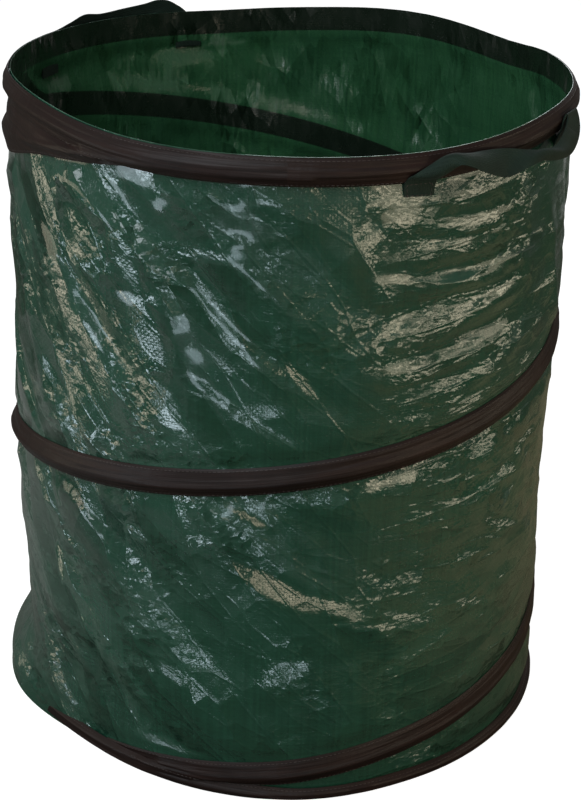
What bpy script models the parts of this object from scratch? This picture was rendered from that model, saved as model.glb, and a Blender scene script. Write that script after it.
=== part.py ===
"""Pop-up leaf bag: a cylinder of woven plastic that one spring wire holds open.

The wire is a hoop round the rim, a spiral down the wall and a hoop round the foot, each in a tape
casing sewn outside the wall. Two webbing handles are sewn below the rim. The bag stands on the
origin with +Z up and its front towards -Y. An azimuth is measured from the front towards +X, and
the spiral comes down from the front to the left, so its own angle runs the other way.
"""

import math

import bmesh
import bpy
from mathutils import Matrix, Vector

# The bag
bag_height = 0.669
rim_radius = 0.2800
foot_flare = 0.0035
wall_thickness = 0.0010
bottom_thickness = 0.0010
lap_width = 0.015
lap_azimuth = math.radians(105)

# The spring wire
wire_radius = 0.00175
wire_stand_off = 0.0030
hoop_depth = 0.0130
foot_hoop_height = 0.0060
wire_pitch = 0.0040
spiral_turns = 2.06
spiral_lead = 0.0130
spiral_wave = 0.0124
spiral_wave_angle = math.radians(28.6)
spiral_ease = 0.0040
spiral_settle = 0.0240

# The crimped ferrules
ferrule_length = 0.018
ferrule_wall = 0.0007
ferrule_clearance = 0.0002

# The tape casings
tape_thickness = 0.0008
rim_casing_width = 0.0300
foot_casing_width = 0.0157
casing_above_wire = 0.0170
casing_below_wire = 0.0110
casing_ease = 0.0030
casing_skirt = 0.0050
casing_spacing = 0.0012
wedge_width = 0.0040
edge_margin = 0.0005

# The webbing handles
strap_width = 0.030
strap_thickness = 0.0015
handle_azimuth = math.radians(45.5)
handle_spacing = 0.200
patch_height = 0.0130
riser_lean = 0.0220
fold_drop = 0.0070
strap_bulge = 0.0160
strap_sag = 0.0200
rear_lift = math.radians(28)

# Between pieces that touch
fit_gap = 0.0003

# Facets
smooth_below = math.radians(40)
stations_per_turn = 72
wire_sides = 8
strap_steps = 16
arc_steps = 6

station_angle = math.tau / stations_per_turn
up = Vector((0, 0, 1))
foot_radius = rim_radius + foot_flare


def clear_scene():
    for obj in list(bpy.data.objects):
        bpy.data.objects.remove(obj)


def make_material(name, colour, roughness, metallic=0.0):
    material = bpy.data.materials.new(name)
    material.use_nodes = True
    shader = material.node_tree.nodes["Principled BSDF"]
    shader.inputs["Base Color"].default_value = (*colour, 1.0)
    shader.inputs["Roughness"].default_value = roughness
    shader.inputs["Metallic"].default_value = metallic
    return material


def add_object(name, data, material, parent=None, matrix=None):
    """Puts the data into the bag's collection, at the matrix in the bag's frame."""
    obj = bpy.data.objects.new(name, data)
    bag.objects.link(obj)
    if data is not None:
        data.materials.append(material)
    if parent is not None:
        obj.parent = parent
        obj.matrix_parent_inverse = parent.matrix_world.inverted()
    obj.matrix_basis = matrix or Matrix()
    bpy.context.view_layer.update()
    return obj


def mesh_from(name, bm):
    mesh = bpy.data.meshes.new(name)
    bm.to_mesh(mesh)
    bm.free()
    mesh.shade_smooth()
    mesh.set_sharp_from_angle(angle=smooth_below)
    return mesh


def sheet_grid(rows, closed=False):
    """A bmesh of quads over rows of points. Columns run with the azimuth and rows run downwards."""
    bm = bmesh.new()
    grid = [[bm.verts.new(point) for point in row] for row in rows]
    columns = len(grid[0])
    for upper, lower in zip(grid, grid[1:]):
        for i in range(columns if closed else columns - 1):
            j = (i + 1) % columns
            bm.faces.new((upper[i], lower[i], lower[j], upper[j]))
    return bm


def add_shell(name, rows, thickness, material, parent=None, matrix=None, closed=False, side=1.0):
    """A sheet of the thickness, grown from the rows' surface outwards, inwards or to both sides."""
    obj = add_object(name, mesh_from(name, sheet_grid(rows, closed)), material, parent, matrix)
    shell = obj.modifiers.new("Thickness", "SOLIDIFY")
    shell.thickness = thickness
    shell.offset = side
    return obj


def direction(azimuth):
    return Vector((math.sin(azimuth), -math.cos(azimuth), 0))


def wall_radius(height):
    """The wall's outside, which widens evenly from the rim to the foot."""
    return foot_radius + (rim_radius - foot_radius) * height / bag_height


def on_wall(azimuth, height, stand_off=0.0):
    """A point beside the wall, which is flat between one station and the next."""
    station = math.floor(azimuth / station_angle)
    share = azimuth / station_angle - station
    start = direction(station * station_angle)
    end = direction((station + 1) * station_angle)
    return start.lerp(end, share) * (wall_radius(height) + stand_off) + up * height


rim_wire_height = bag_height - hoop_depth
spiral_top_height = rim_wire_height - wire_pitch
spiral_foot_height = foot_hoop_height + wire_pitch


def guide_height(station):
    """The spiral's line before its ends bend into the hoops: an even pitch with a slow wave."""
    angle = station * station_angle
    fall = bag_height * angle / math.tau / spiral_turns
    return bag_height + spiral_lead - fall + spiral_wave * math.sin(angle - spiral_wave_angle)


def eased(excess):
    """Zero below zero and the excess above it, with the soft bend that a springy wire makes."""
    return spiral_ease * math.log1p(math.exp(excess / spiral_ease))


def spiral_height(station):
    """The spiral wire's centre, which runs out level beside each hoop."""
    under_rim = spiral_top_height - eased(spiral_top_height - guide_height(station))
    return spiral_foot_height + eased(under_rim - spiral_foot_height)


def find_station(reached):
    """The first station from the rim down at which the test holds."""
    station = -stations_per_turn // 2
    while not reached(station):
        station += 1
    return station


rim_ferrule_station = find_station(lambda s: guide_height(s) < spiral_top_height + spiral_settle) - 1
foot_ferrule_station = find_station(lambda s: guide_height(s) < spiral_foot_height - spiral_settle)
wire_stations = range(rim_ferrule_station - 1, foot_ferrule_station + 3)


def wires_at(azimuth_station):
    """Heights of the spiral wire at a station counted with the azimuth, one for each turn there."""
    return [
        (station, spiral_height(station))
        for station in wire_stations
        if (station + azimuth_station) % stations_per_turn == 0
    ]


def near_ferrule(station):
    return station in (
        rim_ferrule_station,
        rim_ferrule_station + 1,
        foot_ferrule_station,
        foot_ferrule_station + 1,
    )


crest_half_width = wire_radius + casing_ease
wire_crest = wire_stand_off + wire_radius
ferrule_crest = wire_crest + ferrule_clearance + ferrule_wall


def tent(distance, crest):
    """How far tape is held off the wall at this distance from a wire: level on top, then a skirt."""
    share = (crest_half_width + casing_skirt - abs(distance)) / casing_skirt
    return crest * min(max(share, 0.0), 1.0)


def tape_stand_off(azimuth_station, height):
    """The inner face of a casing: on the wall, and tented over each wire that runs beneath."""
    spiral = wires_at(azimuth_station)
    at_ferrule = any(near_ferrule(station) for station, _ in spiral)
    crest = ferrule_crest if at_ferrule else wire_crest
    lifts = [tent(height - rim_wire_height, crest), tent(height - foot_hoop_height, crest)]
    lifts += [tent(height - wire_height, crest) for _, wire_height in spiral]
    return fit_gap + max(lifts)


def casing_row(azimuth_stations, heights):
    return [
        on_wall(station * station_angle, height, tape_stand_off(station, height))
        for station, height in zip(azimuth_stations, heights)
    ]


def strip_count(width):
    """Strips no wider than half the crest of a tent, so that no tent falls between their edges."""
    return math.ceil(width / crest_half_width)


def even_heights(top, bottom):
    strips = strip_count(top - bottom)
    return [top + (bottom - top) * i / strips for i in range(strips + 1)]


def add_ring_casing(name, top, bottom, material, parent=None):
    turn = range(stations_per_turn)
    rows = [casing_row(turn, [height] * len(turn)) for height in even_heights(top, bottom)]
    return add_shell(name, rows, tape_thickness, material, parent, closed=True)


rim_casing_top = bag_height - edge_margin
rim_casing_bottom = rim_casing_top - rim_casing_width
foot_casing_bottom = fit_gap
foot_casing_top = foot_casing_bottom + foot_casing_width
band_ceiling = rim_casing_bottom - casing_spacing
band_floor = foot_casing_top + casing_spacing


def add_spiral_casing(material):
    """The band's rows keep their places beside the wire, and squeeze up where a ring casing cuts it."""
    first = find_station(
        lambda s: guide_height(s) - casing_below_wire < band_ceiling - wedge_width
    )
    last = find_station(lambda s: guide_height(s) + casing_above_wire < band_floor + wedge_width) - 1
    strips = strip_count(casing_above_wire + casing_below_wire)
    columns = list(range(last, first - 1, -1))
    tops = [min(guide_height(s) + casing_above_wire, band_ceiling) for s in columns]
    bottoms = [max(guide_height(s) - casing_below_wire, band_floor) for s in columns]
    rows = []
    for strip in range(strips + 1):
        heights = [top + (low - top) * strip / strips for top, low in zip(tops, bottoms)]
        rows.append([])
        for station, height in zip(columns, heights):
            crest = ferrule_crest if near_ferrule(station) else wire_crest
            lift = fit_gap + tent(height - spiral_height(station), crest)
            rows[-1].append(on_wall(-station * station_angle, height, lift))
    return add_shell("spiral_casing", rows, tape_thickness, material)


def add_wall(material):
    """One rectangle rolled up, with its last edge drawn in behind its first and sewn there."""
    wall_bottom = bottom_thickness + fit_gap
    first = round(lap_azimuth / station_angle)
    tuck = wall_thickness + fit_gap
    course = [(first + i, 0.0) for i in range(stations_per_turn - 1)]
    course += [(first + stations_per_turn - 1, tuck), (first + stations_per_turn, tuck)]
    lap_end = first + stations_per_turn + lap_width / rim_radius / station_angle
    course.append((lap_end, tuck))
    rows = [
        [on_wall(station * station_angle, height, -inset) for station, inset in course]
        for height in (bag_height, wall_bottom)
    ]
    return add_shell("wall_panel", rows, wall_thickness, material, side=-1.0)


def add_bottom(material):
    """A disc under the wall, whose edge the foot casing covers."""
    bm = bmesh.new()
    bmesh.ops.create_cone(
        bm,
        cap_ends=True,
        segments=stations_per_turn,
        radius1=foot_radius,
        radius2=foot_radius,
        depth=bottom_thickness,
    )
    raised = Matrix.Translation(up * bottom_thickness / 2)
    return add_object("bottom_panel", mesh_from("bottom_panel", bm), material, matrix=raised)


def add_hoop(name, height, material, parent=None):
    bpy.ops.mesh.primitive_torus_add(
        major_segments=stations_per_turn,
        minor_segments=wire_sides,
        major_radius=wall_radius(height) + wire_stand_off,
        minor_radius=wire_radius,
    )
    ring = bpy.context.object
    mesh = ring.data
    bpy.data.objects.remove(ring)
    mesh.name = name
    mesh.shade_smooth()
    return add_object(name, mesh, material, parent, Matrix.Translation(up * height))


def spiral_points():
    return [
        on_wall(-station * station_angle, spiral_height(station), wire_stand_off)
        for station in wire_stations
    ]


def add_spiral_wire(material):
    curve = bpy.data.curves.new("spiral_wire", "CURVE")
    curve.dimensions = "3D"
    curve.bevel_depth = wire_radius
    curve.bevel_resolution = wire_sides // 2 - 2
    curve.use_fill_caps = True
    points = spiral_points()
    spline = curve.splines.new("POLY")
    spline.points.add(len(points) - 1)
    for target, point in zip(spline.points, points):
        target.co = (*point, 1)
    return add_object("spiral_wire", curve, material)


def print_least_gaps():
    """Measures on points how far the spiral wire stays clear of itself and of both hoops."""
    points = spiral_points()
    turn = stations_per_turn
    to_itself = min(
        (upper - lower).length
        for i, upper in enumerate(points)
        for lower in points[i + turn // 2 :]
    )
    to_hoops = min(
        min(abs(point.z - rim_wire_height), abs(point.z - foot_hoop_height)) for point in points
    )
    for name, distance in (("itself", to_itself), ("the hoops", to_hoops)):
        print(f"spiral wire to {name}: {(distance - 2 * wire_radius) * 1000:.2f} mm")


def oval_spline(curve, radius):
    """Two half circles round the two wires, joined by straights."""
    ends = []
    for centre, turned in ((wire_pitch / 2, 0.0), (-wire_pitch / 2, math.pi)):
        for i in range(arc_steps + 1):
            angle = turned + math.pi * i / arc_steps
            ends.append((radius * math.cos(angle), centre + radius * math.sin(angle)))
    spline = curve.splines.new("POLY")
    spline.points.add(len(ends) - 1)
    for target, (x, y) in zip(spline.points, ends):
        target.co = (x, y, 0, 1)
    spline.use_cyclic_u = True


def add_ferrule(name, station, height, material, parent=None):
    """An oval sleeve over the spiral's end and the hoop, in the middle of one flat of the wall."""
    curve = bpy.data.curves.new(name, "CURVE")
    curve.dimensions = "2D"
    curve.fill_mode = "BOTH"
    curve.extrude = ferrule_length / 2
    oval_spline(curve, wire_radius + ferrule_clearance + ferrule_wall)
    oval_spline(curve, wire_radius + ferrule_clearance)
    azimuth = -(station + 0.5) * station_angle
    centre = on_wall(azimuth, height, wire_stand_off)
    across = direction(azimuth)
    turn = Matrix((across, up, across.cross(up))).transposed().to_4x4()
    return add_object(name, curve, material, parent, Matrix.Translation(centre) @ turn)


patch_top = rim_casing_bottom - casing_spacing
patch_bottom = patch_top - patch_height
fold_height = bag_height - fold_drop
over_casing = tape_thickness + 3 * fit_gap
half_tab = strap_width / 2 / rim_radius


def tab_centre(side):
    """Azimuth of a handle's left (-1) or right (+1) sewn end."""
    return handle_azimuth + side * handle_spacing / 2 / rim_radius


def add_tab(name, side, turned, material, parent):
    """A sewn end: flat on the wall, then up over the rim casing, leaning towards the right."""
    course = [(fold_height, over_casing + wire_crest)]
    for height in even_heights(rim_casing_top, rim_casing_bottom):
        if height < fold_height:
            course.append((height, over_casing + tent(height - rim_wire_height, wire_crest)))
    course += [(patch_top - casing_spacing, fit_gap), (patch_bottom, fit_gap)]
    rows = []
    for height, lift in course:
        climbed = max(height - patch_top, 0.0) / (fold_height - patch_top)
        centre = tab_centre(side) + riser_lean / rim_radius * climbed
        rows.append(
            [on_wall(centre + offset * half_tab, height, lift) for offset in (-1, 0, 1)]
        )
    return add_shell(name, rows, strap_thickness, material, parent, turned)


# Shares along the strap, of its bulge outwards, of its sag, and of how far its face tips up
strap_course_shares = (
    (0.00, 0.00, 0.00, 0.30),
    (0.10, 0.10, 0.00, 0.50),
    (0.22, 0.35, 0.00, 0.45),
    (0.36, 0.45, 0.10, 0.60),
    (0.48, 0.30, 0.40, 0.90),
    (0.60, 0.10, 0.70, 0.95),
    (0.80, 0.10, 0.60, 0.40),
    (1.00, 0.00, 0.00, 0.00),
)


def smooth_course(shares, steps):
    """Points spread over the table's rows along a curve that passes through each of them."""
    last = len(shares) - 1
    course = []
    for i in range(steps + 1):
        place = i / steps * last
        k = min(int(place), last - 1)
        t = place - k
        course.append([])
        for a, b, c, d in zip(*(shares[min(max(j, 0), last)] for j in (k - 1, k, k + 1, k + 2))):
            leave = (c - a) / 2
            arrive = (d - b) / 2
            square = 3 * (c - b) - 2 * leave - arrive
            cube = 2 * (b - c) + leave + arrive
            course[-1].append(b + t * (leave + t * (square + t * cube)))
    return course


strap_stand_off = over_casing + wire_crest + strap_thickness + fit_gap + strap_thickness / 2
strap_start = tab_centre(-1) + (riser_lean + strap_width / 2 + fit_gap) / rim_radius
strap_end = tab_centre(1) + (riser_lean + strap_width / 2) / rim_radius


def hinge_frame():
    """The line between the two folds, which the strap turns about: its middle, X along it, Z up."""
    reach = rim_radius + strap_stand_off
    start, end = (direction(azimuth) * reach + up * fold_height for azimuth in (strap_start, strap_end))
    along = (end - start).normalized()
    turn = Matrix((along, up.cross(along), up)).transposed().to_4x4()
    return Matrix.Translation((start + end) / 2) @ turn


def strap_mesh():
    """The belt between the two folds, in the hinge's frame, from its upper edge to its lower one."""
    to_hinge = hinge_frame().inverted()
    rows = [[], []]
    for along, bulge, sag, tip in smooth_course(strap_course_shares, strap_steps):
        azimuth = strap_start + (strap_end - strap_start) * along
        for row, width in zip(rows, (0.0, strap_width)):
            out = strap_stand_off + strap_bulge * bulge + width * math.sin(tip * math.pi / 2)
            height = fold_height - strap_sag * sag - width * math.cos(tip * math.pi / 2)
            row.append(to_hinge @ (direction(azimuth) * (rim_radius + out) + up * height))
    return mesh_from("handle_strap", sheet_grid(rows))


def add_handle(name, turned, lift, mesh, material, parent):
    """An empty on the line of the folds carries the strap, so turning it lifts the handle."""
    frame = turned @ hinge_frame() @ Matrix.Rotation(-lift, 4, "X")
    hinge = add_object(name + "_hinge", None, None, parent, frame)
    strap = bpy.data.objects.new(name + "_strap", mesh)
    bag.objects.link(strap)
    strap.parent = hinge
    web = strap.modifiers.new("Thickness", "SOLIDIFY")
    web.thickness = strap_thickness
    web.offset = 0.0


clear_scene()
bag = bpy.data.collections.new("pop_up_leaf_bag")
bpy.context.scene.collection.children.link(bag)

woven_green = make_material("woven polyethylene", (0.016, 0.062, 0.043), 0.32)
brown_tape = make_material("casing tape", (0.026, 0.014, 0.012), 0.55)
webbing = make_material("handle webbing", (0.020, 0.038, 0.032), 0.60)
spring_steel = make_material("spring steel", (0.42, 0.42, 0.44), 0.35, 1.0)
crimped_steel = make_material("crimped sleeve", (0.55, 0.55, 0.57), 0.40, 1.0)

add_wall(woven_green)
add_bottom(woven_green)
add_ring_casing("foot_casing", foot_casing_top, foot_casing_bottom, brown_tape)
add_spiral_casing(brown_tape)
add_spiral_wire(spring_steel)
add_hoop("foot_hoop", foot_hoop_height, spring_steel)
foot_pair_height = foot_hoop_height + wire_pitch / 2
add_ferrule("foot_ferrule", foot_ferrule_station, foot_pair_height, crimped_steel)

rim = add_object("rim_carrier", None, None, matrix=Matrix.Translation(up * rim_wire_height))
add_hoop("rim_hoop", rim_wire_height, spring_steel, rim)
rim_pair_height = rim_wire_height - wire_pitch / 2
add_ferrule("rim_ferrule", rim_ferrule_station, rim_pair_height, crimped_steel, rim)
add_ring_casing("rim_casing", rim_casing_top, rim_casing_bottom, brown_tape, rim)

strap = strap_mesh()
strap.materials.append(webbing)
for handle_name, turned, lift in (
    ("front_handle", Matrix(), 0.0),
    ("rear_handle", Matrix.Rotation(math.pi, 4, "Z"), rear_lift),
):
    add_handle(handle_name, turned, lift, strap, webbing, rim)
    for side_name, side in (("left", -1), ("right", 1)):
        add_tab(f"{handle_name}_tab_{side_name}", side, turned, webbing, rim)

print_least_gaps()
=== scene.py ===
import math

import bmesh
import bpy
import numpy as np
from mathutils import Matrix, Vector
from mathutils.bvhtree import BVHTree


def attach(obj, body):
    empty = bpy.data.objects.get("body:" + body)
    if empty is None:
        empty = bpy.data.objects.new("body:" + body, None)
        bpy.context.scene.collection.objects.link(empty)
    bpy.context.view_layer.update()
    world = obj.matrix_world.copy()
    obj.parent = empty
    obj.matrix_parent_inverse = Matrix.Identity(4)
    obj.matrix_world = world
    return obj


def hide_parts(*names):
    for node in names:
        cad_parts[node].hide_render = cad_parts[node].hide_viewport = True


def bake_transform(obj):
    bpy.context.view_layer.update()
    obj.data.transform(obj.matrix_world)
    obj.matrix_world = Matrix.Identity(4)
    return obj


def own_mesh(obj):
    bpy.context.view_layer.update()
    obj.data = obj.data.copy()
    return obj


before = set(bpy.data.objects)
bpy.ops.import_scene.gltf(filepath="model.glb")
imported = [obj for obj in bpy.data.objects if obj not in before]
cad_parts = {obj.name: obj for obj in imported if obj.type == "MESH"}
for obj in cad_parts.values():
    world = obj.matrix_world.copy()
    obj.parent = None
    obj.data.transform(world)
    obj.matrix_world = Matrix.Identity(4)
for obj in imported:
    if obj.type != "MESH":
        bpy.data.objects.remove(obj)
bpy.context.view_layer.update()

# Wall: one rectangle of glossy green woven polyethylene, rolled up and sewn where its ends lap at
# the right rear. It was folded flat in its pack, so it is creased all over, and the wire holds it
# open unevenly, so it hangs in long folds from one turn of the wire to the next.
bag_height = 0.669
rim_radius = 0.2800
foot_radius = 0.2835
wall_bottom = 0.0013
sheet_thickness = 0.0004
lap_azimuth = math.radians(105)
lap_width = 0.015
lap_tuck = 0.0008
tuck_angle, tuck_turn = math.tau - math.radians(6), math.radians(5)
lap_columns = 5
wall_columns = 392
wall_rows = 122
circumference = math.tau * rim_radius
rng = np.random.default_rng(7)
# The rim isn't level: degrees from the front towards the right, and millimetres that it stands up
rim_course = (
    (0, 0), (26, 0), (38, 2), (50, 6), (62, 10), (74, 10), (90, 8), (109, 8), (118, 3), (124, 0),
    (134, 3), (148, 8), (160, 7), (174, 2), (197, -3), (216, 0), (240, 3), (260, 6), (278, 8),
    (292, 12), (306, 10), (319, 4), (330, 1), (342, 0), (360, 0),
)
rim_ease = 0.1
rim_bend_foot = 0.560
rim_bend_height = 0.070
# Nor is the bag truly round. Each row: the middle's azimuth in degrees and drop in millimetres,
# how many degrees and millimetres it reaches to each side, and millimetres outwards
sways = (
    (-46, 669, 34, 170, -10), (4, 669, 28, 200, 7), (28, 669, 30, 200, 2.5), (-92, 556, 38, 96, -22),
    (-92, 446, 38, 62, -8), (-92, 245, 30, 90, -6), (-90, 70, 20, 30, 4), (92, 412, 32, 130, -6),
    (92, 535, 20, 30, 3), (95, 612, 34, 60, -6), (150, 300, 40, 160, 6), (200, 470, 45, 130, -9),
    (245, 300, 30, 120, -6),
)
sway_fullness = 1.6


def smooth(value):
    """0 up to 0, 1 from 1, and a soft change between them."""
    value = np.clip(value, 0, 1)
    return value * value * (3 - 2 * value)


def on_round(azimuth, height, stand_off):
    """Points beside the wall. An azimuth is counted from the front towards the right."""
    azimuth, height, stand_off = np.broadcast_arrays(azimuth, height, stand_off)
    radius = foot_radius + (rim_radius - foot_radius) * height / bag_height + stand_off
    for middle, drop, reach, tall, outwards in sways:
        aside = np.abs((np.degrees(azimuth) - middle + 180) % 360 - 180) / reach
        apart = np.abs(height - bag_height + drop / 1000) * 1000 / tall
        radius = radius + smooth(1 - aside) * smooth(sway_fullness * (1 - apart)) * outwards / 1000
    return np.stack([radius * np.sin(azimuth), -radius * np.cos(azimuth), height], -1)


def from_front(azimuth):
    """The same azimuth, from half a turn to the left of the front to half a turn to the right."""
    return (azimuth + math.pi) % math.tau - math.pi


def within(azimuth, stretch):
    """1 along a stretch of the round and 0 away from it. The stretch says where it starts, how
    soon it counts in full, where it ends and how soon it fades, in radians from the front."""
    start, growth, end, fade = stretch
    turned = from_front(azimuth)
    return smooth((turned - start) / growth) * smooth((end - turned) / fade)


def around(azimuth, table):
    """Values between those that a table gives for degrees from the front."""
    places, values = np.array(table).T
    return np.interp(np.degrees(from_front(azimuth)), places, values)


def rim_rise(azimuth):
    """How far the bent rim stands above its level height, with its corners eased."""
    places, rises = np.array(rim_course).T
    turns = (-rim_ease, 0, rim_ease)
    near = [np.interp(np.degrees(azimuth + turn) % 360, places, rises) for turn in turns]
    return (near[0] + 2 * near[1] + near[2]) / 4 / 1000


def follow_rim(azimuth, height):
    """A height on the wall, which the bent rim takes with it near the top."""
    return height + rim_rise(azimuth) * smooth((height - rim_bend_foot) / rim_bend_height)


# The casings that hold the wall. An angle along the spiral grows from the front towards the left.
# Its tape is wide where it leaves the rim casing, and runs low where it ends.
spiral_turns = 2.06
spiral_lead = 0.0130
spiral_wave = 0.0124
spiral_wave_angle = math.radians(28.6)
spiral_first = math.radians(32)
spiral_last = math.radians(758)
band_above_wire = 0.0170
band_below_wire = 0.0110
band_floor = 0.0172
leaving_angle, leaving_turn = math.radians(112), math.radians(14)
widening_angle, widening_turn = math.radians(52), math.radians(30)
ending_angle, ending_turn = math.radians(716), math.radians(14)
extra_width = 0.0140
ending_drop = 0.0045
rim_casing_width = 0.0270


def guide_height(angle):
    """The course of the spiral wire before it eases towards the hoops."""
    fall = bag_height * angle / math.tau / spiral_turns
    return bag_height + spiral_lead - fall + spiral_wave * np.sin(angle - spiral_wave_angle)


def band_edges(angle):
    """The upper and lower edge of the spiral casing."""
    leaving = smooth((leaving_angle - angle) / leaving_turn)
    wide = smooth((angle - widening_angle) / widening_turn) * leaving
    level = bag_height - rim_casing_width + rim_rise(-angle)
    upper = np.minimum(guide_height(angle) + band_above_wire, level)
    upper = upper + (level - upper) * leaving
    ending = smooth((angle - ending_angle) / ending_turn)
    lower = guide_height(angle) - band_below_wire - extra_width * wide
    lower = np.maximum(lower, band_floor - ending_drop * ending)
    return np.maximum(upper, lower), lower


def band_distance(azimuth, height):
    """How far a point of the wall lies above or below the nearest casing, and below 0 under one."""
    level = bag_height - rim_casing_width + rim_rise(azimuth)
    nearest = np.minimum(level - height, height - band_floor)
    for turn in range(math.ceil(spiral_last / math.tau) + 1):
        angle = (-azimuth) % math.tau + turn * math.tau
        upper, lower = band_edges(angle)
        gap = np.maximum(height - upper, lower - height)
        early = np.maximum(spiral_first - angle, angle - spiral_last) * rim_radius
        nearest = np.minimum(nearest, np.maximum(gap, early))
    return nearest


facet_jitter = 0.34
fold_tip_share = 0.02


def facets(azimuth, height, length, width, slope, size):
    """Heights of a crumple: flat facets between the points of a jittered lattice, which closes on
    itself round the bag and goes on past its ends and edges, so that a facet lies at every place.
    The slope is how far its rows fall for each metre towards the right."""
    along = round(circumference / length)
    step = circumference / along
    skew = round(slope * circumference / width)
    tall = math.ceil(bag_height / width) + abs(skew)
    rows = tall + 8
    jitter = rng.uniform(-facet_jitter, facet_jitter, (along, rows, 2))
    lift = rng.uniform(-size, size, (along, rows))
    columns = range(-2, along + 3)
    lows = range(-3, tall + 4)
    points = []
    for i in columns:
        for j in lows:
            a, b = i % along, (j - skew * (i // along)) % rows
            x = (i + jitter[a, b, 0]) * step
            y = (j + jitter[a, b, 1] - skew * i / along) * width
            points.append((x, y, lift[a, b]))
    deep = len(lows)
    faces = []
    for i in range(len(columns) - 1):
        for j in range(deep - 1):
            k = i * deep + j
            faces.append((k, k + deep, k + deep + 1))
            faces.append((k, k + deep + 1, k + 1))
    tree = BVHTree.FromPolygons(points, faces)
    start = -2 * size - 1
    found = np.empty(azimuth.size)
    for k, (x, y) in enumerate(zip((azimuth % math.tau * rim_radius).ravel(), height.ravel())):
        hit = tree.ray_cast((x, y, start), (0, 0, 1))[0]
        found[k] = hit.z if hit else 0
    return found.reshape(azimuth.shape)


def crease(azimuth, height, course, width, rise):
    """A long fold along a course of azimuths in degrees and drops in millimetres: a tent, or a
    valley where the rise is below 0, that dies out at both ends."""
    corners = np.array([(math.radians(a) * rim_radius, bag_height - d / 1000) for a, d in course])
    legs = np.linalg.norm(np.diff(corners, axis=0), axis=1)
    reached = np.concatenate([[0], np.cumsum(legs)])
    x = from_front(azimuth) * rim_radius
    lift = np.zeros(azimuth.shape)
    for start, end, before, leg in zip(corners, corners[1:], reached, legs):
        run = (end - start) / leg
        share = np.clip(((x - start[0]) * run[0] + (height - start[1]) * run[1]) / leg, 0, 1)
        off = np.hypot(x - start[0] - share * leg * run[0], height - start[1] - share * leg * run[1])
        place = np.clip((before + share * leg) / reached[-1], fold_tip_share, 1 - fold_tip_share)
        tent = np.clip(1 - off / width, 0, 1) * np.sqrt(np.sin(math.pi * place))
        lift = np.maximum(lift, tent)
    return rise * lift


# Long folds. Each row: the fold's course, its width to each side and how far it stands out
long_folds = (
    (((-50, 40), (-38, 66), (-27, 120), (-21, 176), (-14, 262)), 0.022, 0.0050),
    (((-37, 36), (-26, 76), (-15.6, 121), (-7, 170), (1.6, 202), (12, 245)), 0.016, -0.0044),
    (((-25, 40), (-14, 86), (-2, 130), (10, 180), (20, 226)), 0.030, 0.0044),
    (((-66, 95), (-49, 169), (-38, 213), (-31, 268)), 0.020, 0.0042),
    (((-58, 90), (-44, 150), (-33, 206), (-26, 260)), 0.014, -0.0040),
    (((-80, 70), (-70, 150), (-60, 240), (-52, 300)), 0.022, 0.0040),
    (((-76, 120), (-66, 200), (-58, 280)), 0.014, -0.0036),
    (((18, 62), (34, 76), (52, 72)), 0.009, 0.0026),
    (((20, 88), (36, 96), (54, 92)), 0.010, 0.0030),
    (((16, 110), (34, 116), (52, 108)), 0.009, -0.0026),
    (((22, 128), (40, 132), (56, 122)), 0.010, 0.0030),
    (((18, 150), (36, 150), (54, 138)), 0.009, -0.0026),
    (((20, 170), (36, 168), (54, 152)), 0.011, 0.0030),
    (((18, 196), (34, 190), (52, 172)), 0.010, -0.0028),
    (((18, 216), (34, 208), (52, 188)), 0.011, 0.0030),
    (((24, 244), (40, 232), (56, 208)), 0.012, 0.0030),
    (((60, 60), (66, 130), (72, 200), (80, 250)), 0.018, 0.0038),
    (((74, 50), (80, 120), (88, 190)), 0.016, -0.0034),
    (((-54, 376), (-33, 431), (-21, 505), (-14, 600)), 0.022, 0.0044),
    (((-40, 372), (-24, 420), (-12, 490), (-4, 590)), 0.018, -0.0036),
    (((-18, 336), (-1, 401), (15, 458), (30, 520)), 0.022, 0.0046),
    (((-6, 326), (10, 372), (26, 430), (40, 480)), 0.018, -0.0038),
    (((-62, 440), (-45, 546), (-38, 632)), 0.020, 0.0036),
    (((30, 330), (44, 372), (60, 420), (70, 480)), 0.022, 0.0040),
    (((50, 300), (62, 340), (74, 400)), 0.016, -0.0034),
    (((40, 646), (62, 634), (84, 620), (106, 606), (130, 592)), 0.030, 0.0025),
    (((-120, 612), (-96, 622), (-74, 624), (-54, 626)), 0.022, 0.0080),
    (((-39, 505), (-40.5, 560), (-43, 600)), 0.010, -0.0036),
    (((-54, 515), (-47, 548), (-41, 580)), 0.011, 0.0032),
    (((-38, 530), (-28, 580), (-16, 612)), 0.018, 0.0042),
)
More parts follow.
